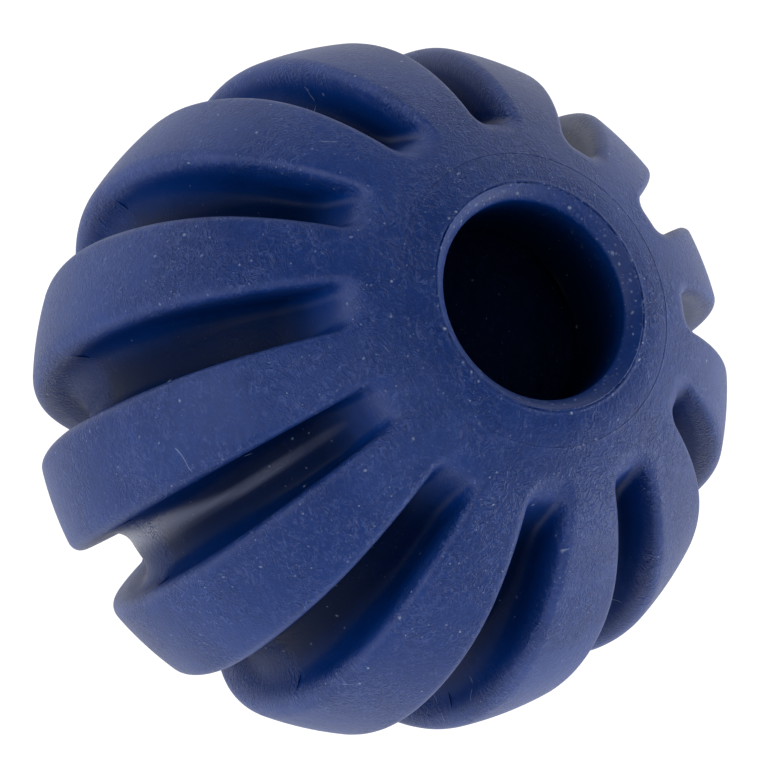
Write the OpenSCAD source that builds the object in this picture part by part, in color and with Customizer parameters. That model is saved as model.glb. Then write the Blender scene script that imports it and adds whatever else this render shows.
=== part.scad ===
// Treat dispensing ball: a hollow elastomer ball with twelve meridional grooves
// and a round treat mouth at the front pole.
// It is built from two moulded half shells and a stepped mouth ring.
// The standing plane is z = 0, the mouth opens along +Z on the ball's axis.

/* [Ball] */
// Outside diameter, across two opposite ribs
ball_d = 80; // [76:1:84]
// Radius of the flat foot round the rear pole
foot_r = 10; // [7:0.5:12]
// Thickness of the wall under a groove
wall_t = 4.4; // [3.6:0.1:5]

/* [Grooves] */
// Number of grooves, and of ribs between them
groove_n = 12; // [10:1:12]
// Depth of a groove below the rib tops
groove_d = 6.2; // [4.5:0.1:6.6]
// Width of a groove at the rib tops, on the equator
groove_w = 7.8; // [7:0.1:8]
// Sideways lean of a groove wall for each millimetre outwards
wall_lean = 0.11; // [0.1:0.01:0.13]
// Mould draft of a groove wall, sideways for each millimetre away from the equator
wall_draft = 0.014; // [0.01:0.001:0.02]
// Distance from the axis at which a groove ends, next to the polar cap
groove_end_r = 21.1; // [20.6:0.1:22.5]
// Radius of the rounded end of a groove
groove_end_round = 2.8; // [2.7:0.1:4]

/* [Mouth ring] */
// Radius of the throat, through which the treats fall
throat_r = 11.1; // [10:0.1:11.4]
// Radius of the crease round the rolled lip
lip_r = 12.8; // [12.5:0.1:13.2]
// Outer radius of the ring, where its edge shows as a fine circle
ring_r = 16.3; // [16:0.1:17]
// Radius of the ring's plug below its step
plug_r = 14.3; // [13.8:0.1:14.8]
// Depth of the step in the shell that the ring sits on, below the ring's edge
step_depth = 4; // [3:0.1:4.6]
// Length of the throat below the rolled lip
throat_len = 10.5; // [9.5:0.5:12]

/* [Rear pole] */
// Radius of the air vent at the rear pole
vent_r = 3; // [2:0.1:4]

/* [Hidden] */
$fn = 96;
shell_c = [0.17, 0.27, 0.50];
ring_c = [0.15, 0.25, 0.48];
R = ball_d/2;
// radius of the groove floors and of the treat chamber
floor_r = R - groove_d;
cavity_r = floor_r - wall_t;
// height of the ball's centre above the foot
zc = sqrt(R*R - foot_r*foot_r);
// the polar cap round the mouth is slightly flatter than the sphere: a cone
cap_slope = 0.323;
cap_z0 = R*0.9113 + ring_r*cap_slope;
// a groove wall is the plane |y| = groove_w/2 + wall_lean*(x - R) + wall_draft*z
wall_s = sqrt(wall_lean*wall_lean + wall_draft*wall_draft);
wall_a = groove_w/2 - wall_lean*R;
wall_tilt = atan(wall_draft/wall_lean);
// the wedge that cuts a groove starts where it is this narrow
wedge_y0 = 0.25;
wedge_x0 = (wedge_y0 - wall_a)/wall_s;
wedge_x1 = R + 8;
// rolled lip: a slightly convex cone from the crease down into the throat
lip_round = lip_r - throat_r;
lip_z = cap_z0 - lip_r*cap_slope;
ring_edge_z = cap_z0 - ring_r*cap_slope;
step_z = ring_edge_z - step_depth;
throat_z = lip_z - lip_round - throat_len;
// register between the halves: a spigot on the rear half in a seat in the front half
spigot_r = cavity_r + 2.1;
spigot_h = 3;

// Space outside the ball's own surface near the mouth, above the flattened cap
module above_cap() {
    rotate_extrude()
        polygon([[0, cap_z0], [R*0.6, cap_z0 - R*0.6*cap_slope], [R*0.6, R + 5], [0, R + 5]]);
}

// One groove of the front half: a wedge with drafted flat walls, closed towards
// the pole by a rounded upright end wall
module groove_cut() {
    intersection() {
        rotate([0, -wall_tilt, 0])
            translate([0, 0, -16])
                linear_extrude(height = 66)
                    polygon([[wedge_x0, -wedge_y0], [wedge_x1, -(wall_a + wall_s*wedge_x1)],
                             [wedge_x1, wall_a + wall_s*wedge_x1], [wedge_x0, wedge_y0]]);
        translate([0, 0, -1])
            union() {
                translate([groove_end_r + groove_end_round, 0, 0])
                    cylinder(r = groove_end_round, h = R + 2);
                translate([groove_end_r + groove_end_round, -7, 0])
                    cube([R, 14, R + 2]);
            }
    }
}

module front_grooves() {
    for (i = [0:groove_n - 1])
        rotate([0, 0, (i + 0.5)*360/groove_n]) groove_cut();
}

// Ribbed outside of the front half, centred on the ball's centre
module front_outside() {
    intersection() {
        union() {
            difference() {
                sphere(r = R);
                front_grooves();
            }
            sphere(r = floor_r);
        }
        translate([0, 0, R]) cube([2*R + 4, 2*R + 4, 2*R], center = true);
    }
}

// Mouth half of the shell
module front_half_shell() {
    color(shell_c)
        translate([0, 0, zc])
            difference() {
                front_outside();
                above_cap();
                sphere(r = cavity_r);
                translate([0, 0, step_z]) cylinder(r = ring_r, h = R);
                cylinder(r = plug_r, h = R);
                translate([0, 0, -1]) cylinder(r = spigot_r, h = spigot_h + 1);
            }
}

// Rear half of the shell, with its spigot, its foot and the air vent
module rear_half_shell() {
    color(shell_c)
        translate([0, 0, zc])
            difference() {
                union() {
                    mirror([0, 0, 1]) front_outside();
                    translate([0, 0, -1]) cylinder(r = spigot_r, h = spigot_h + 1);
                }
                sphere(r = cavity_r);
                translate([0, 0, -R - 2 - zc]) cylinder(r = R, h = R + 2);
                translate([0, 0, -R - 2]) cylinder(r = vent_r, h = R);
            }
}

// Stepped ring in the mouth: outer band, rolled lip, throat and plug
module mouth_ring() {
    color(ring_c)
        translate([0, 0, zc])
            rotate_extrude()
                polygon([[throat_r, throat_z], [plug_r, throat_z], [plug_r, step_z],
                         [ring_r, step_z], [ring_r, ring_edge_z], [lip_r, lip_z],
                         [lip_r - 0.59*lip_round, lip_z - 0.27*lip_round],
                         [lip_r - 0.94*lip_round, lip_z - 0.65*lip_round],
                         [throat_r, lip_z - lip_round]]);
}

front_half_shell();
rear_half_shell();
mouth_ring();
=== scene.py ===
"""Treat dispensing ball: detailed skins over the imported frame, elastomer materials, soft studio light, camera.

Everything is in metres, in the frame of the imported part: z = 0 is the standing plane and the mouth opens along +Z.
Shapes are worked out in units of the ball's radius, round the ball's centre.
"""
import math

import bpy
import numpy as np
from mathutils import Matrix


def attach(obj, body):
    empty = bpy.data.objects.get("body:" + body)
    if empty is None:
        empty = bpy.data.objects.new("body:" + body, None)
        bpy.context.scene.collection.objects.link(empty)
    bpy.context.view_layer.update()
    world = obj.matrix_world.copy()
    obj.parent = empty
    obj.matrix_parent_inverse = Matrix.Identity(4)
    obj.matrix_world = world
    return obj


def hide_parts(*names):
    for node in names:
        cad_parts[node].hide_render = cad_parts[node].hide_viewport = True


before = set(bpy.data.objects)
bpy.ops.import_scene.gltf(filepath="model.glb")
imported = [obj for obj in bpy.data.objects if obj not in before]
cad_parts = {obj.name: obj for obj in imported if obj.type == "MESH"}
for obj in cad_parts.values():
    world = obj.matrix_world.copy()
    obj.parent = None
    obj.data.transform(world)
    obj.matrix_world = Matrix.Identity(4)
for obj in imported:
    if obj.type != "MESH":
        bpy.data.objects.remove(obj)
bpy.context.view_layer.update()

# ---------------------------------------------------------------- sizes
R = 0.040                                # ball radius, over the rib tops
FOOT_R = 0.010
ZC = math.sqrt(R * R - FOOT_R * FOOT_R)  # height of the ball's centre
RMM = R * 1000

# shape of the grooves, in ball radii
W1, B = 0.0981, 0.0                      # half width at the rib tops, and how it grows outwards
C_N, K_N = 0.1156, -0.006                # how it grows with latitude, mouth half
C_S, K_S = 0.05, -0.20                   # the same, rear half
FLOOR = 0.841                            # radius of the groove floors, along their middle
FLOOR_ROUND = 0.90                       # rounding of the floor's cross-section, as a share of the half width
GROOVE_END, END_LEAN = 0.508, 0.40       # distance from the axis at which a groove's end ramp meets the surface, and its lean
END_NORM = math.sqrt(1 + END_LEAN ** 2 + 1.2 * END_LEAN)
R_EDGE, R_PLAN = 0.051, 0.032            # rib edges, plan corners of a groove's end
POLISHED_HIGHLIGHT_AZ = -75.0                         # azimuth of the groove with a smooth line along its bottom, also painted lighter there as a highlight streak

# mouth, in ball radii
THROAT_R = 0.276
RIM_R, RIM_Z = 0.3192, 0.9394
RING_R, RING_Z = 0.4062, 0.9113
CAP_FROM = 56.0                          # latitude from which the cap is flatter than the sphere
STEP_DEPTH = 4.0 / RMM
PLUG_R = 14.3 / RMM
THROAT_LEN = 10.5 / RMM
CAVITY = 29.4 / RMM
SPIGOT_R, SPIGOT_H = 31.5 / RMM, 3.0 / RMM
VENT_R = 3.0 / RMM

# ---------------------------------------------------------------- camera numbers
TILT, DIST, ROLL = 31.6, 9.0, 30.0       # axis from the line of sight, distance in radii, roll of the axis
PHASE = 105.0 - 4.03                     # azimuth that leans away from the camera
BALL_PX, CX, CY = 347.3, 379.33, 388.46  # outline radius and centre in the 780 x 781 frame

COLS = 36                                # columns in half a sector
SECTORS = 12
M = 2 * COLS * SECTORS
INNER = M // 6

# ---------------------------------------------------------------- outside of the ball


def rint(a, b, r):
    """Rounded intersection of two distances."""
    return np.minimum(-r, np.maximum(a, b)) + np.hypot(np.maximum(r + a, 0), np.maximum(r + b, 0))


LAM_RING = math.degrees(math.atan2(RING_Z, RING_R))
CAP_K = (1 - math.hypot(RING_R, RING_Z)) / max(((LAM_RING - CAP_FROM) / 10) ** 2, 1e-6)


def cap_radius(lam):
    """Radius of the smooth ball at a latitude in radians: slightly flatter round the mouth."""
    d = np.maximum(np.degrees(lam) - CAP_FROM, 0) / 10
    return 1 - CAP_K * d * d


def half_width(rho, lam, cosphi):
    s = np.abs(np.sin(lam))
    s = np.where(lam < 0, np.minimum(s, 0.5), s)
    c = np.where(lam < 0, C_S, C_N)
    k = np.where(lam < 0, K_S, K_N)
    return (W1 + B * (rho - 1)) * np.cos(lam) * cosphi * (1 + c * s + k * s * s)


def field(rho, phi, lam):
    """Negative inside the ball, positive outside and in the grooves. phi is from a groove's middle."""
    gx = rho * np.cos(lam) * np.cos(phi)
    gy = np.abs(rho * np.cos(lam) * np.sin(phi))
    half = half_width(rho, lam, np.cos(phi))
    wall = (gy - half) / math.sqrt(1 + B * B)
    near_pole = np.clip((np.degrees(np.abs(lam)) - 12) / 28, 0, 1)
    near_pole = near_pole * near_pole * (3 - 2 * near_pole)      # edges and fillets get finer toward the poles
    g = rint(wall, (GROOVE_END - gx + END_LEAN * (1 - rho)) / END_NORM, R_PLAN)
    g = rint(g, FLOOR - rho, FLOOR_ROUND * (1 - 0.50 * near_pole) * np.maximum(half, 0.02))
    return rint(rho - cap_radius(lam), -g, R_EDGE * (1 - 0.42 * near_pole))


def half_sector(lams):
    """(phi, rho) of the outside, one row per latitude, from a groove's middle to a rib's middle.
    A row's columns are spaced along its outline, closer at the rib edge and at the floor's fillet."""
    lam = np.asarray(lams)[:, None]
    x15 = np.cos(lam) * math.pi / 12
    top = cap_radius(lam)
    lo, hi = np.full_like(lam, FLOOR - 0.03), np.full_like(lam, 1.02)
    for _ in range(40):
        mid = (lo + hi) / 2
        inside = field(mid, 0 * lam, lam) < 0
        lo, hi = np.where(inside, mid, lo), np.where(inside, hi, mid)
    y0 = (lo + hi) / 2
    s = np.linspace(0, 1, 500)[None, :]
    t = y0 + s * (top + x15 - y0)
    x_edge = half_width(top, lam, 1.0) / top
    x_foot = half_width(np.full_like(lam, FLOOR), lam, 1.0) / FLOOR
    density = 1 + 2.2 * np.exp(-(((t - top - x_edge) / 0.036) ** 2)) + 1.2 * np.exp(-(((t - FLOOR - x_foot) / 0.06) ** 2))
    run = np.concatenate([np.zeros_like(lam), np.cumsum((density[:, 1:] + density[:, :-1]) / 2, 1)], 1)
    run /= run[:, -1:]
    want = np.linspace(0, 1, COLS + 1)
    T = np.stack([np.interp(want, run[i], t[i]) for i in range(len(lam))])
    lo = np.maximum(FLOOR - 0.03, T - x15 - 0.02)
    hi = np.minimum(1.02, T + 0.02)
    for _ in range(40):
        mid = (lo + hi) / 2
        inside = field(mid, (T - mid) / np.cos(lam), lam) < 0
        lo, hi = np.where(inside, mid, lo), np.where(inside, hi, mid)
    rho = (lo + hi) / 2
    phi = (T - rho) / np.cos(lam)
    phi[:, 0], phi[:, -1] = 0, math.pi / 12
    return phi, rho


def full_rows(lams):
    """Rings of points round the whole ball, with each point's rho and azimuth."""
    phi, rho = half_sector(lams)
    az, rr = [], []
    for k in range(SECTORS):
        centre = math.radians(15 + 30 * k)
        az.append(centre - phi[:, :0:-1])
        rr.append(rho[:, :0:-1])
        az.append(centre + phi[:, :-1])
        rr.append(rho[:, :-1])
    az, rr = np.concatenate(az, 1), np.concatenate(rr, 1)
    lam = np.asarray(lams)[:, None]
    return az, rr, np.stack([rr * np.cos(lam) * np.cos(az), rr * np.cos(lam) * np.sin(az), rr * np.sin(lam) + 0 * az], -1)


def field_at(p):
    rho = np.linalg.norm(p, axis=-1)
    lam = np.arcsin(np.clip(p[..., 2] / rho, -1, 1))
    az = np.arctan2(p[..., 1], p[..., 0]) - math.radians(15)
    phi = (az + math.pi / 12) % (math.pi / 6) - math.pi / 12
    return field(rho, phi, lam)


def normal_at(p):
    e = 1e-4
    n = np.stack([field_at(p + np.array(v) * e) - field_at(p - np.array(v) * e) for v in ((1, 0, 0), (0, 1, 0), (0, 0, 1))], -1)
    return n / (np.linalg.norm(n, axis=-1, keepdims=True) + 1e-12)


def wobble(p, scale, seed):
    """Smooth repeatable noise in -1..1 from a few sine waves."""
    rng = np.random.default_rng(seed)
    total = np.zeros(p.shape[:-1])
    for _ in range(10):
        k = rng.normal(size=3) * scale
        total += np.sin(p @ k + rng.uniform(0, 2 * math.pi))
    return total / 4.5


# ---------------------------------------------------------------- closed meshes from rings of points


class Rings:
    """A closed skin made of rings of points round the axis, each joined to the next, and the last to the first."""

    def __init__(self):
        self.points, self.starts, self.counts, self.wear, self.depth, self.polish_and_highlight = [], [], [], [], [], []
        self.total = 0

    def add(self, p, wear=None, depth=None, polish_and_highlight=None):
        n = len(p)
        self.points.append(p)
        self.starts.append(self.total)
        self.counts.append(n)
        self.total += n
        self.wear.append(np.zeros(n) if wear is None else wear)
        self.depth.append(np.zeros(n) if depth is None else depth)
        self.polish_and_highlight.append(np.zeros(n) if polish_and_highlight is None else polish_and_highlight)

    def build(self, name):
        quads, tris = [], []
        for i in range(len(self.counts)):
            j = (i + 1) % len(self.counts)
            a, b, na, nb = self.starts[i], self.starts[j], self.counts[i], self.counts[j]
            if na == nb:
                q = np.arange(na)
                r = (q + 1) % na
                quads.append(np.stack([a + q, a + r, b + r, b + q], 1))
                continue
            big, small, nbig, nsmall, flip = (a, b, na, nb, False) if na > nb else (b, a, nb, na, True)
            k = nbig // nsmall
            for s in range(nsmall):
                s2 = (s + 1) % nsmall
                for m in range(k):
                    u, v = big + (k * s + m) % nbig, big + (k * s + m + 1) % nbig
                    tris.append((u, v, small + (s if m < k // 2 else s2)))
                    if m == k // 2:
                        tris.append((u, small + s2, small + s))
                if flip:
                    tris[-(k + 1):] = [t[::-1] for t in tris[-(k + 1):]]
        quads = np.concatenate(quads) if quads else np.zeros((0, 4), int)
        tris = np.array(tris, int).reshape(-1, 3)
        loops = np.concatenate([quads.ravel(), tris.ravel()]).astype(np.int32)
        starts = np.concatenate([np.arange(len(quads)) * 4, len(quads) * 4 + np.arange(len(tris)) * 3]).astype(np.int32)
        co = np.concatenate(self.points) * R
        co[:, 2] += ZC
        me = bpy.data.meshes.new(name)
        me.vertices.add(len(co))
        me.vertices.foreach_set("co", co.astype(np.float32).ravel())
        me.loops.add(len(loops))
        me.loops.foreach_set("vertex_index", loops)
        me.polygons.add(len(starts))
        me.polygons.foreach_set("loop_start", starts)
        me.update(calc_edges=True)
        me.validate()
        me.shade_smooth()
        me.set_sharp_from_angle(angle=math.radians(38))
        for key, values in (("wear", self.wear), ("depth", self.depth), ("polish_and_highlight", self.polish_and_highlight)):
            at = me.attributes.new(key, "FLOAT", "POINT")
            at.data.foreach_set("value", np.concatenate(values).astype(np.float32))
        ob = bpy.data.objects.new(name, me)
        bpy.context.scene.collection.objects.link(ob)
        return ob


def circle(r, z, az):
    return np.stack([r * np.cos(az), r * np.sin(az), np.full_like(az, z)], -1)


def outside_marks(rho, p):
    """How near a point is to a rib's rounded edge, and how deep it lies in a groove, both 0..1: the first lightens the
    edges, partly as worn edges and partly as a painted sheen; the second darkens the grooves as painted shade.
    """
    depth = np.clip((1 - rho) / (1 - FLOOR), 0, 1)
    n = normal_at(p)
    up = p / np.linalg.norm(p, axis=-1, keepdims=True)
    lean = (n * up).sum(-1)
    wear = np.clip(1 - np.abs(lean - 0.78) / 0.26, 0, 1) * np.clip((rho - 0.945) / 0.02, 0, 1)
    return wear, depth


def polished_highlight_line(az, rho, lam):
    """A narrow smooth line along the bottom of one groove, wider near the equator, 0..1: glossier, and painted lighter
    as a highlight streak.
    """
    lat = np.degrees(lam)[:, None]
    side = rho * np.cos(lam)[:, None] * ((az - math.radians(POLISHED_HIGHLIGHT_AZ) + math.pi) % (2 * math.pi) - math.pi)
    low = np.clip((25 - lat) / 22, 0, 1)
    middle = -0.006 - 0.030 * low
    width = 0.0105 + 0.022 * low * low
    return np.exp(-(((side - middle) / width) ** 2)) * np.clip((0.90 - rho) / 0.03, 0, 1) * np.clip((54 - lat) / 24, 0, 1)


def on_ramp(az, rho, lam):
    """How much a point belongs to the ramp at a groove's end, 0..1."""
    phi = (az - math.radians(15) + math.pi / 12) % (math.pi / 6) - math.pi / 12
    lam = lam[:, None]
    gx, gy = rho * np.cos(lam) * np.cos(phi), np.abs(rho * np.cos(lam) * np.sin(phi))
    end = (GROOVE_END - gx + END_LEAN * (1 - rho)) / END_NORM
    side = np.clip(0.3 + (end - (gy - half_width(rho, lam, np.cos(phi)))) / 0.012, 0, 1)
    return side * np.clip((0.985 - rho) / 0.02, 0, 1) * np.clip(1 - (FLOOR - rho - end - 0.02) / 0.05, 0, 1) * np.clip((np.degrees(np.abs(lam)) - 40) / 8, 0, 1)


def outer_rings(lams):
    """Rows of the ball's outside for latitudes in degrees, with the flash that the two moulds left on the equator."""
    lam = np.radians(np.asarray(lams, float))
    az, rho, p = full_rows(lam)
    n = normal_at(p)
    flash = np.exp(-((np.degrees(lam)[:, None] / 0.11) ** 2)) * np.clip((0.988 - rho) / 0.02, 0, 1)
    rough = np.clip(0.25 + 0.6 * wobble(p, 40, 4) + 0.5 * wobble(p, 200, 9), 0.0, 1.0)
    p = p + n * (flash * rough * 0.0004)[..., None]
    wear, depth = outside_marks(rho, p)
    wear = np.maximum(wear, 0.8 * flash * rough)
    # the ramps at the grooves' ends are glossier and painted lighter as a highlight, at a lower share than the smooth
    # line
    return az, p, wear, depth, np.maximum(polished_highlight_line(az, rho, lam), 0.17 * on_ramp(az, rho, lam) * np.clip((rho - 0.855) / 0.09, 0, 1))


NEAR = [0, 0.06, 0.13, 0.22, 0.4, 0.8, 1.5, 2.6]
LAM_FRONT = NEAR + list(np.arange(4.0, 44.1, 1.27)) + list(np.arange(44.9, 62.4, 0.43)) + list(np.linspace(62.9, LAM_RING - 0.25, 5))

# ---- mouth half
front = Rings()
az, p, wear, depth, polish_and_highlight = outer_rings(LAM_FRONT)
for i in range(len(LAM_FRONT)):
    front.add(p[i], wear[i], depth[i], polish_and_highlight[i])
top_az = az[-1]
shell_lip = RING_R + 0.00015
for a in (0.0, 0.5, 1.0):                        # the shell's edge round the ring is broken by a fine radius
    q = a * math.pi / 2
    front.add(circle(shell_lip + 0.0009 * (1 - math.sin(q)), RING_Z - 0.0009 * (1 - math.cos(q)), top_az))
step_z = RING_Z - STEP_DEPTH
front.add(circle(shell_lip, step_z + 0.01, top_az))
az_in = top_az[::6].copy()
az_eq = az[0][::6].copy()
front.add(circle(shell_lip, step_z, az_in))
front.add(circle(PLUG_R + 0.0005, step_z, az_in))
z_cav = math.sqrt(CAVITY ** 2 - (PLUG_R + 0.0005) ** 2)
front.add(circle(PLUG_R + 0.0005, z_cav, az_in))
lam_cav = np.linspace(math.asin(z_cav / CAVITY), math.asin(SPIGOT_H / CAVITY), 22)
# the inside of the cavity is painted near black as shade
for i, l in enumerate(lam_cav[1:], 1):
    f = i / (len(lam_cav) - 1)
    front.add(circle(CAVITY * math.cos(l), CAVITY * math.sin(l), az_in * (1 - f) + az_eq * f), depth=np.full(len(az_in), 1.12))
front.add(circle(SPIGOT_R, SPIGOT_H, az_eq))
front.add(circle(SPIGOT_R, 0.0, az_eq))
front_skin = front.build("front_shell_skin")

# ---- rear half, from the foot up
LAM_FOOT = math.degrees(math.asin(ZC / R))
FOOT_EDGE = 0.9                                   # degrees taken by the rounding of the foot's edge
rear_lams = [-v for v in (NEAR + list(np.arange(4.0, 44.1, 1.27)) + list(np.arange(44.9, 62.4, 0.5)) + list(np.linspace(63.0, LAM_FOOT - FOOT_EDGE, 10)))][::-1]
rear = Rings()
az, p, wear, depth, polish_and_highlight = outer_rings(rear_lams)
foot_az = az[0][::6].copy()
az_eq = az[-1][::6].copy()
lo_r, lo_z = math.hypot(*p[0][0][:2]), p[0][0][2]
flat = -ZC / R
for i in range(len(rear_lams)):
    rear.add(p[i], wear[i], depth[i], polish_and_highlight[i])
rear.add(circle(SPIGOT_R, 0.0, az_eq))
rear.add(circle(SPIGOT_R, SPIGOT_H, az_eq))
r_top = math.sqrt(CAVITY ** 2 - SPIGOT_H ** 2)
rear.add(circle(r_top, SPIGOT_H, az_eq))
vent_top = -math.sqrt(CAVITY ** 2 - VENT_R ** 2)
lam_cav = np.linspace(math.asin(SPIGOT_H / CAVITY), math.asin(vent_top / CAVITY), 34)
# the inside of the cavity is painted near black as shade
for i, l in enumerate(lam_cav[1:], 1):
    f = i / (len(lam_cav) - 1)
    rear.add(circle(CAVITY * math.cos(l), CAVITY * math.sin(l), az_eq * (1 - f) + foot_az * f), depth=np.full(len(az_eq), 1.12))
VE = 0.014                                        # rounding of the vent's edge
rear.add(circle(VENT_R, flat + 0.12, foot_az))
for a in np.linspace(0, 1, 6):
    q = a * math.pi / 2
    rear.add(circle(VENT_R + VE * (1 - math.cos(q)), flat + VE * (1 - math.sin(q)), foot_az))
rear.add(circle((VENT_R + lo_r) / 2, flat, foot_az))
edge_in = lo_r - 0.018
for a in np.linspace(0, 1, 5)[:-1]:               # from the flat foot round to the ball's side
    x0, x1 = edge_in, lo_r
    u = a
    rear.add(circle((1 - u) ** 2 * x0 + 2 * u * (1 - u) * (lo_r - 0.004) + u * u * x1,
                    (1 - u) ** 2 * flat + 2 * u * (1 - u) * flat + u * u * lo_z, foot_az))
rear_skin = rear.build("rear_shell_skin")

# ---- mouth ring: outer band, raised line, crease, rolled bead, throat, plug and step
mm = 1 / RMM


def ring_profile():
    """(r, z, edge lightening, darkening) round the ring's section, anticlockwise seen with +r to the right: the third
    lightens raised edges as worn edges and as painted sheen, the fourth darkens recesses as painted shade; the crease's
    points have their height above the smooth cap as well."""
    out = []
    r_out = RING_R - 0.00015
    # the ring's outer wall in the gap next to the shell is darkened as painted shade
    out.append((r_out, step_z + 0.0006, 0, 1))
    out.append((r_out, RING_Z - 0.004, 0, 1))
    for a in (0, 0.5, 1):
        q = a * math.pi / 2
        out.append((r_out - 0.0009 * (1 - math.cos(q)), RING_Z - 0.0009 * (1 - math.sin(q)), 0.2, 0.1))
    r0, r1 = r_out - 0.0009, RIM_R + 0.30 * mm
    slope = (RIM_Z - RING_Z) / (RIM_R - RING_R)
    for u in np.linspace(0, 1, 13)[1:]:
        r = r0 + (r1 - r0) * u
        bulge = 0.0022 * math.sin(math.pi * u)
        out.append((r, RING_Z + slope * (r - RING_R) + bulge, 0, 0))
    base = lambda r: RING_Z + slope * (r - RING_R)
    # the crease: its raised lip is lightened as a worn edge and a painted highlight, its sunken line darkened as
    # painted shade
    for dr, dz in ((0.24, 0.010), (0.18, 0.03), (0.12, 0.05), (0.06, 0.055), (0.01, 0.04), (-0.04, 0.0), (-0.08, -0.07), (-0.12, -0.14),
                   (-0.16, -0.17), (-0.20, -0.15), (-0.25, -0.10), (-0.30, -0.06)):
        out.append((RIM_R + dr * mm, base(RIM_R + dr * mm) + dz * mm, 0.6 if dz > 0.02 else 0.0, 0.0 if dz > -0.02 else min(0.5, -dz / 0.35), dz * mm))
    r_in = RIM_R - 0.30 * mm
    z_in = base(r_in) - 0.06 * mm

    def curve(p0, p1, p2, count, wear0, wear1, depth0, depth1):
        for u in np.linspace(0, 1, count + 1)[1:]:
            x, z = ((1 - u) ** 2 * p0[k] + 2 * u * (1 - u) * p1[k] + u * u * p2[k] for k in (0, 1))
            out.append((x, z, wear0 + (wear1 - wear0) * u, depth0 + (depth1 - depth0) * u))

    # the rolled bead is lightened as a worn edge and a painted sheen, then darkened as painted shade where it turns
    # down into the throat
    curve((r_in, z_in), (0.2935, 0.9306), (THROAT_R + 0.004, 0.9120), 16, 0.10, 0.45, 0.0, 0.0)
    curve((THROAT_R + 0.004, 0.9120), (THROAT_R, 0.9063), (THROAT_R, 0.9000), 6, 0.35, 0.0, 0.05, 0.45)
    throat_z = out[-1][1] - THROAT_LEN
    z_bead = out[-1][1]
    # the throat's wall is darkened inwards as painted shade
    for u in np.linspace(0, 1, 16)[1:]:
        out.append((THROAT_R + 0.0005 * math.sin(3.1 * u), z_bead + (throat_z + 0.01 - z_bead) * u, 0, 1.08 - 0.60 * math.exp(-u / 0.17)))
    # the throat's floor, the plug and the step are painted near black as shade
    out.append((THROAT_R + 0.003, throat_z + 0.002, 0, 1.12))
    out.append((THROAT_R + 0.012, throat_z, 0, 1.12))
    out.append((PLUG_R - 0.008, throat_z, 0, 1.12))
    out.append((PLUG_R - 0.0005, throat_z + 0.008, 0, 1.12))
    out.append((PLUG_R - 0.0005, step_z + 0.0006, 0, 1))
    return out


ring = Rings()
ring_az = np.arange(480) * 2 * math.pi / 480
on_lip = circle(RIM_R, RIM_Z, ring_az)
uneven = np.clip(0.50 + 0.45 * wobble(on_lip, 45, 21) + 0.35 * wobble(on_lip, 260, 22), 0.05, 1.15)
for r, z, w, d, *cut in ring_profile():
    pts = circle(r, z, ring_az)
    share = uneven if cut else 1.0                # the crease isn't equally deep all round
    pts[:, 2] += (share - 1.0) * (cut[0] if cut else 0.0)
    ring.add(pts, float(w) * share * np.ones(480), float(d) * share * np.ones(480))
ring_skin = ring.build("mouth_ring_skin")

# ---------------------------------------------------------------- materials


class Tree:
    """Short names for building a material's nodes."""

    def __init__(self, mat):
        mat.use_nodes = True
        self.t = mat.node_tree
        self.t.nodes.clear()

    def node(self, kind, inputs=None, **props):
        n = self.t.nodes.new(kind)
        for k, v in props.items():
            setattr(n, k, v)
        for k, v in (inputs or {}).items():
            if isinstance(v, bpy.types.NodeSocket):
                self.t.links.new(v, n.inputs[k])
            else:
                n.inputs[k].default_value = v
        return n

    def math(self, op, a, b=0.0, c=0.0, clamp=False):
        return self.node("ShaderNodeMath", {0: a, 1: b, 2: c}, operation=op, use_clamp=clamp).outputs[0]

    def span(self, x, lo, hi, to_lo=0.0, to_hi=1.0, smooth=True):
        n = self.node("ShaderNodeMapRange", {"Value": x, "From Min": lo, "From Max": hi, "To Min": to_lo, "To Max": to_hi})
        n.interpolation_type = "SMOOTHSTEP" if smooth else "LINEAR"
        return n.outputs["Result"]

    def noise(self, vec, scale, detail=3.0, rough=0.5, distort=0.0, dims="3D"):
        return self.node("ShaderNodeTexNoise", {"Vector": vec, "Scale": scale, "Detail": detail, "Roughness": rough, "Distortion": distort}, noise_dimensions=dims)

    def mix(self, fac, a, b):
        n = self.node("ShaderNodeMix", {0: fac}, data_type="RGBA")
        for i, v in ((6, a), (7, b)):
            if isinstance(v, bpy.types.NodeSocket):
                self.t.links.new(v, n.inputs[i])
            else:
                n.inputs[i].default_value = (*v, 1.0)
        return n.outputs[2]

    def specks(self, vec, scale, size, share, offset=0.0):
        """Round specks of a share of the cells of a Voronoi pattern."""
        if offset:
            vec = self.node("ShaderNodeVectorMath", {0: vec, 1: (offset, offset * 0.7, -offset)}, operation="ADD").outputs[0]
        v = self.node("ShaderNodeTexVoronoi", {"Vector": vec, "Scale": scale, "Randomness": 1.0}, feature="F1")
        split = self.node("ShaderNodeSeparateColor", {0: v.outputs["Color"]})
        picked = self.math("LESS_THAN", split.outputs[0], share)
        reach = self.math("MULTIPLY", self.math("MULTIPLY_ADD", split.outputs[1], 0.7, 0.45), size)
        dot = self.math("SUBTRACT", 1.0, self.math("DIVIDE", v.outputs["Distance"], reach), clamp=True)
        return self.math("MULTIPLY", self.math("MULTIPLY", picked, self.math("POWER", dot, 0.7)), self.math("MULTIPLY_ADD", split.outputs[2], 0.65, 0.35))


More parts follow.
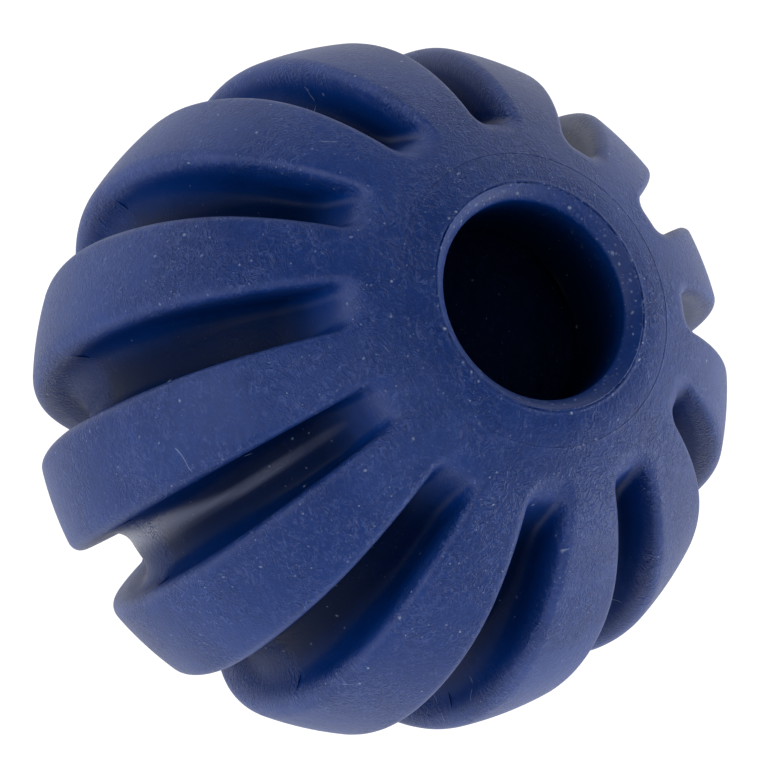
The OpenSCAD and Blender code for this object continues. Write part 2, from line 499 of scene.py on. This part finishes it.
def elastomer(name, deep, mid, bloom_and_highlight, dust, dusty=1.0):
    """Moulded navy elastomer: mottled colour, a whitish film on worn edges that is partly a painted sheen, wrinkly
    scuffs, dust and lint, painted shade deep in the grooves, the throat and the cavity, and a painted highlight along
    one groove's bottom.
    """
    mat = bpy.data.materials.new(name)
    t = Tree(mat)
    vec = t.node("ShaderNodeTexCoord").outputs["Object"]
    wear = t.node("ShaderNodeAttribute", attribute_name="wear").outputs["Fac"]
    depth = t.node("ShaderNodeAttribute", attribute_name="depth").outputs["Fac"]
    height_z = t.node("ShaderNodeSeparateXYZ", {0: vec}).outputs[2]
    polish_and_highlight = t.node("ShaderNodeAttribute", attribute_name="polish_and_highlight").outputs["Fac"]
    rear = t.span(height_z, ZC - 0.0030, ZC + 0.0012, 1.0, 0.0)
    sunken = t.span(depth, 0.10, 0.50)
    moulded = t.math("MULTIPLY", sunken, t.math("MULTIPLY_ADD", rear, -0.50, 1.0))

    big = t.noise(vec, 55.0, 4.0, 0.55, 0.4).outputs["Fac"]
    fine = t.noise(vec, 900.0, 3.0, 0.6).outputs["Fac"]
    grain = t.noise(vec, 4200.0, 2.0, 0.6).outputs["Fac"]
    warp = t.noise(vec, 240.0, 2.0, 0.5).outputs["Color"]
    centred = t.node("ShaderNodeVectorMath", {0: warp, 1: (0.5, 0.5, 0.5)}, operation="SUBTRACT").outputs[0]
    bent = t.node("ShaderNodeVectorMath", {0: vec, 1: t.node("ShaderNodeVectorMath", {0: centred, "Scale": 0.0020}, operation="SCALE").outputs[0]}, operation="ADD").outputs[0]

    split = t.node("ShaderNodeSeparateXYZ", {0: vec})
    out_r = t.math("SQRT", t.math("MULTIPLY_ADD", split.outputs[0], split.outputs[0], t.math("MULTIPLY", split.outputs[1], split.outputs[1])))
    off_lip = t.span(out_r, RIM_R * R - 0.0005, RIM_R * R, 0.2, 1.0)

    # leathery skin: shallow folds with narrow ridges between them
    folds = t.noise(bent, 820.0, 2.0, 0.5, 1.3).outputs["Fac"]
    wrinkle = t.math("SUBTRACT", 0.16, t.math("ABSOLUTE", t.math("SUBTRACT", folds, 0.5)), clamp=True)
    wrinkle = t.math("MULTIPLY", wrinkle, t.span(t.noise(vec, 90.0, 2.0, 0.5).outputs["Fac"], 0.38, 0.60, 0.35, 1.0))

    # finer wrinkles: short thin strokes, with a painted highlight on their ridges and painted shade next to them
    fold = t.noise(bent, 1300.0, 1.5, 0.5, 0.9).outputs["Fac"]
    dense = t.math("MULTIPLY", t.span(t.noise(vec, 120.0, 3.0, 0.55).outputs["Fac"], 0.40, 0.62, 0.28, 1.0), off_lip)
    creases = t.math("ABSOLUTE", t.math("SUBTRACT", fold, 0.5))
    skin = t.math("MULTIPLY", t.math("SUBTRACT", 0.12, creases, clamp=True), dense)
    broken = t.math("MULTIPLY", t.math("MULTIPLY", t.span(fine, 0.44, 0.58), dense), t.math("SUBTRACT", 1.0, moulded))
    ridge_highlight = t.math("MULTIPLY", t.math("SUBTRACT", 1.0, t.math("DIVIDE", creases, 0.040), clamp=True), broken)
    beside_shade = t.math("ABSOLUTE", t.math("SUBTRACT", fold, 0.595))
    beside_shade = t.math("MULTIPLY", t.math("SUBTRACT", 1.0, t.math("DIVIDE", beside_shade, 0.045), clamp=True), broken)

    # wrinkly scuffs: patches of short thin marks, mostly along one way in each patch
    scuff = None
    for seed, turn, lo in ((0.0, (0.5, 0.3, 0.9), 0.47), (0.013, (1.3, 0.8, 2.3), 0.52), (0.031, (0.2, 1.5, 0.4), 0.50)):
        placed = t.node("ShaderNodeVectorMath", {0: vec, 1: (seed, -seed, 2 * seed)}, operation="ADD").outputs[0]
        patch = t.span(t.noise(placed, 105.0, 3.0, 0.55, 0.3).outputs["Fac"], lo, lo + 0.15)
        long = t.node("ShaderNodeMapping", {"Vector": bent, "Rotation": turn, "Scale": (1.0, 2.5, 1.8)}).outputs[0]
        marks = t.span(t.noise(long, 1250.0, 2.0, 0.55, 0.8).outputs["Fac"], 0.53, 0.66)
        layer = t.math("MULTIPLY", marks, patch)
        scuff = layer if scuff is None else t.math("MAXIMUM", scuff, layer)
    open_face = t.math("SUBTRACT", 1.0, t.span(depth, 0.10, 0.55))
    scuff = t.math("MULTIPLY", scuff, open_face)

    # lint: a few short, nearly straight, very thin fibres
    fibre = None
    for way, scale, seed in (((0.80, 0.36, -0.48), 74.0, 0.0), ((-0.30, 0.74, 0.60), 83.0, 0.021), ((0.12, -0.64, 0.76), 61.0, 0.047)):
        along = t.node("ShaderNodeVectorMath", {0: bent, 1: way}, operation="DOT_PRODUCT").outputs["Value"]
        saw = t.math("FRACT", t.math("MULTIPLY", along, scale))
        thin = t.math("SUBTRACT", 1.0, t.math("DIVIDE", t.math("ABSOLUTE", t.math("SUBTRACT", saw, 0.5)), 0.0040), clamp=True)
        placed = t.node("ShaderNodeVectorMath", {0: vec, 1: (-seed, seed, seed)}, operation="ADD").outputs[0]
        short = t.span(t.noise(placed, 230.0, 1.0, 0.4).outputs["Fac"], 0.700, 0.725)
        layer = t.math("MULTIPLY", thin, short)
        fibre = layer if fibre is None else t.math("MAXIMUM", fibre, layer)

    # dust in patches, thinner down in the grooves
    where = t.span(t.noise(vec, 120.0, 3.0, 0.6).outputs["Fac"], 0.40, 0.62, 0.30, 1.0)
    where = t.math("MULTIPLY", where, t.math("MULTIPLY_ADD", moulded, -0.85, 1.0))
    coarse = t.math("MULTIPLY", t.specks(bent, 640.0, 0.130, 0.42), t.math("MULTIPLY_ADD", moulded, -0.5, 1.0))
    small = t.math("MULTIPLY", t.specks(bent, 1150.0, 0.150, 0.50, 0.31), where)
    tiny = t.math("MULTIPLY", t.math("MULTIPLY", t.specks(bent, 2100.0, 0.200, 0.55, 0.77), where), 0.60)
    dots = t.math("MAXIMUM", coarse, t.math("MAXIMUM", small, tiny))
    edges = None
    for radius, width, share in ((RIM_R * R, 0.00035, 0.9), (THROAT_R * R + 0.0006, 0.00040, 0.8), (RING_R * R, 0.00022, 0.7)):
        off = t.math("DIVIDE", t.math("SUBTRACT", out_r, radius), width)
        band = t.math("MULTIPLY", t.math("EXPONENT", t.math("MULTIPLY", t.math("MULTIPLY", off, off), -1.0)), share)
        edges = band if edges is None else t.math("MAXIMUM", edges, band)
    edges = t.math("MULTIPLY", edges, t.span(height_z, ZC + 0.80 * R, ZC + 0.84 * R))
    caught = t.math("MULTIPLY", t.specks(bent, 1500.0, 0.330, 0.90, 1.3), edges)
    dots = t.math("MAXIMUM", dots, t.math("MULTIPLY", caught, t.span(t.noise(vec, 260.0, 2.0, 0.6).outputs["Fac"], 0.40, 0.60, 0.40, 1.0)))
    out = t.math("MULTIPLY", dots, dusty, clamp=True)

    tone = t.math("MULTIPLY_ADD", big, 0.62, t.math("MULTIPLY", fine, 0.38))
    colour = t.mix(t.span(tone, 0.34, 0.66), deep, mid)
    # painted shade: grooves, throat, cavity, gap and crease darkened toward near black with how deep they lie, a little
    # less on the back half
    painted_shade = t.math("MULTIPLY", t.math("MULTIPLY", depth, depth), t.math("MULTIPLY_ADD", rear, -0.30, 0.80), clamp=True)
    colour = t.mix(painted_shade, colour, (0.0, 0.0014, 0.0035))
    haze = t.math("MULTIPLY", t.span(big, 0.36, 0.64, 0.0010, 0.0085), t.math("SUBTRACT", 1.0, moulded))
    haze = t.math("MULTIPLY", haze, t.math("ADD", t.span(grain, 0.30, 0.70, 0.40, 1.10), t.math("MULTIPLY", wrinkle, 3.0)))
    colour = t.mix(haze, colour, (0.86, 0.93, 1.0))
    # painted shade next to the fine wrinkles' ridges and a painted highlight on them
    colour = t.mix(t.math("MULTIPLY", beside_shade, 0.62), colour, (0.0, 0.006, 0.050))
    colour = t.mix(t.math("MULTIPLY", ridge_highlight, 0.090), colour, (0.48, 0.62, 1.0))
    # painted highlight: the smooth line along one groove and the ramps at the grooves' ends lightened to a pale
    # lavender
    colour = t.mix(t.math("MULTIPLY", polish_and_highlight, 0.30), colour, bloom_and_highlight)
    # worn rib edges and raised lines lightened to a pale lavender, which is also a painted sheen along them
    colour = t.mix(t.math("MULTIPLY", wear, t.math("MULTIPLY_ADD", big, 0.30, 0.05)), colour, bloom_and_highlight)
    colour = t.mix(t.math("MULTIPLY", scuff, 0.42), colour, bloom_and_highlight)
    colour = t.mix(t.math("MULTIPLY", fibre, 0.50), colour, dust)
    colour = t.mix(t.math("MULTIPLY", out, 0.80), colour, dust)

    rough = t.math("MULTIPLY_ADD", t.math("ADD", t.math("MULTIPLY", big, 0.6), t.math("MULTIPLY", fine, 0.4)), 0.14, 0.38)
    rough = t.math("ADD", rough, t.math("MULTIPLY", scuff, 0.05))
    rough = t.math("MULTIPLY_ADD", moulded, -0.12, rough)
    rough = t.math("MULTIPLY_ADD", polish_and_highlight, -0.12, rough)
    rough = t.math("MULTIPLY_ADD", out, 0.3, rough, clamp=True)

    height = t.math("MULTIPLY", t.math("SUBTRACT", grain, 0.5), 0.000020)
    height = t.math("ADD", height, t.math("MULTIPLY", t.math("SUBTRACT", fine, 0.5), 0.000034))
    height = t.math("ADD", height, t.math("MULTIPLY", wrinkle, 0.000085))
    height = t.math("ADD", height, t.math("MULTIPLY", skin, 0.000430))
    height = t.math("ADD", height, t.math("MULTIPLY", t.math("SUBTRACT", big, 0.5), 0.00010))
    height = t.math("ADD", height, t.math("MULTIPLY", scuff, 0.000026))
    height = t.math("MULTIPLY", height, t.math("MULTIPLY_ADD", moulded, -0.75, t.math("MULTIPLY_ADD", rear, 0.5, 1.0)))
    bump = t.node("ShaderNodeBump", {"Height": height, "Strength": 1.0, "Distance": 1.0})

    bsdf = t.node("ShaderNodeBsdfPrincipled", {"Base Color": colour, "Roughness": rough, "Normal": bump.outputs[0]})
    bsdf.inputs["IOR"].default_value = 1.5
    bsdf.inputs["Specular IOR Level"].default_value = 0.27
    gloss = t.math("MULTIPLY_ADD", polish_and_highlight, 0.45, t.math("MULTIPLY_ADD", sunken, -0.235, 0.27))
    t.t.links.new(gloss, bsdf.inputs["Specular IOR Level"])
    end = t.node("ShaderNodeOutputMaterial")
    t.t.links.new(bsdf.outputs[0], end.inputs[0])
    return mat


shell_mat = elastomer("navy_elastomer_shell", (0.0003, 0.0230, 0.146), (0.0012, 0.0330, 0.200), (0.075, 0.108, 0.30), (0.42, 0.50, 0.66))
ring_mat = elastomer("navy_elastomer_ring", (0.0003, 0.0225, 0.143), (0.0012, 0.0325, 0.196), (0.075, 0.108, 0.30), (0.42, 0.50, 0.66), 1.15)

for ob, node, mat, slot in ((front_skin, "front_half_shell", shell_mat, "shell"),
                            (rear_skin, "rear_half_shell", shell_mat, "shell"),
                            (ring_skin, "mouth_ring", ring_mat, "mouth_ring")):
    ob.data.materials.append(mat)
    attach(ob, "root")
    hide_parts(node)

# ---------------------------------------------------------------- camera
th, ro, al = math.radians(TILT), math.radians(ROLL), math.radians(PHASE)
e1 = np.array([math.cos(al), math.sin(al), 0.0])
e2 = np.array([-math.sin(al), math.cos(al), 0.0])
ez = np.array([0.0, 0.0, 1.0])
to_cam = -math.sin(th) * e1 + math.cos(th) * ez
axis_up = math.cos(th) * e1 + math.sin(th) * ez
right = math.cos(ro) * axis_up - math.sin(ro) * e2
up = math.sin(ro) * axis_up + math.cos(ro) * e2
place = np.array([0, 0, ZC]) + DIST * R * to_cam

from mathutils import Matrix, Vector

cam_data = bpy.data.cameras.new("camera")
cam = bpy.data.objects.new("camera", cam_data)
bpy.context.scene.collection.objects.link(cam)
cam.matrix_world = Matrix(((right[0], up[0], to_cam[0], place[0]),
                           (right[1], up[1], to_cam[1], place[1]),
                           (right[2], up[2], to_cam[2], place[2]),
                           (0, 0, 0, 1)))
cam_data.sensor_fit = "HORIZONTAL"
cam_data.sensor_width = 36.0
cam_data.lens = BALL_PX * math.sqrt(DIST * DIST - 1) * 36.0 / 780.0
cam_data.shift_x = (390.0 - (CX + 0.5)) / 780.0
cam_data.shift_y = -(390.5 - (CY + 0.5)) / 780.0
cam_data.clip_start, cam_data.clip_end = 0.01, 50.0
bpy.context.scene.camera = cam

# ---------------------------------------------------------------- floor and light
bpy.ops.mesh.primitive_plane_add(size=8.0, location=(0, 0, -0.0002))
floor = bpy.context.object
floor.name = "floor"
fm = bpy.data.materials.new("pale_floor")
t = Tree(fm)
diff = t.node("ShaderNodeBsdfDiffuse", {"Color": (0.10, 0.10, 0.10, 1)})
glow = t.node("ShaderNodeEmission", {"Color": (1.0, 1.0, 1.0, 1), "Strength": 1.04})
both = t.node("ShaderNodeAddShader")
t.t.links.new(diff.outputs[0], both.inputs[0])
t.t.links.new(glow.outputs[0], both.inputs[1])
clear = t.node("ShaderNodeBsdfTransparent")
side = t.node("ShaderNodeMixShader", {0: t.node("ShaderNodeNewGeometry").outputs["Backfacing"]})
t.t.links.new(both.outputs[0], side.inputs[1])
t.t.links.new(clear.outputs[0], side.inputs[2])
end = t.node("ShaderNodeOutputMaterial")
t.t.links.new(side.outputs[0], end.inputs[0])
floor.data.materials.append(fm)

world = bpy.data.worlds.new("studio")
bpy.context.scene.world = world
world.use_nodes = True
w = world.node_tree
w.nodes.clear()
w_tree = Tree.__new__(Tree)
w_tree.t = w
ray = w_tree.node("ShaderNodeTexCoord").outputs["Generated"]


def facing(direction):
    """How much a direction of the room agrees with a fixed one, -1..1."""
    return w_tree.node("ShaderNodeVectorMath", {0: ray, 1: tuple(float(v) for v in direction)}, operation="DOT_PRODUCT").outputs["Value"]


# a dim room with a few soft lamps, most of them low round the table: (right, up, toward the camera), narrowness, strength
LAMPS = (((-0.82, 0.10, 0.57), 30, 4.9), ((0.79, 0.46, -0.40), 30, 1.5), ((0.45, 0.83, -0.33), 10, 2.0), ((-0.01, 0.0, 1.0), 30, 3.8),
         ((0.94, -0.03, -0.33), 30, 3.9), ((0.66, -0.60, 0.45), 10, 1.6), ((0.86, -0.49, -0.14), 30, 7.6),
         ((-0.67, -0.39, 0.64), 30, 2.0), ((0.57, 0.82, 0.07), 30, 1.1))
level = None
for (lx, ly, lz), spread, power in LAMPS:
    aim = lx * right + ly * up + lz * to_cam
    near = w_tree.math("MULTIPLY_ADD", facing(aim / np.linalg.norm(aim)), spread, -spread)
    lamp = w_tree.math("MULTIPLY", w_tree.math("EXPONENT", near), power)
    level = lamp if level is None else w_tree.math("ADD", level, lamp)
level = w_tree.math("ADD", level, 0.02)
bg = w.nodes.new("ShaderNodeBackground")
bg.inputs["Color"].default_value = (1.0, 1.0, 1.0, 1.0)
w.links.new(level, bg.inputs["Strength"])
wo = w.nodes.new("ShaderNodeOutputWorld")
w.links.new(bg.outputs[0], wo.inputs[0])

view = bpy.context.scene.view_settings
view.view_transform = "Standard"
view.look = "None"
view.exposure = 0.0
view.gamma = 1.0
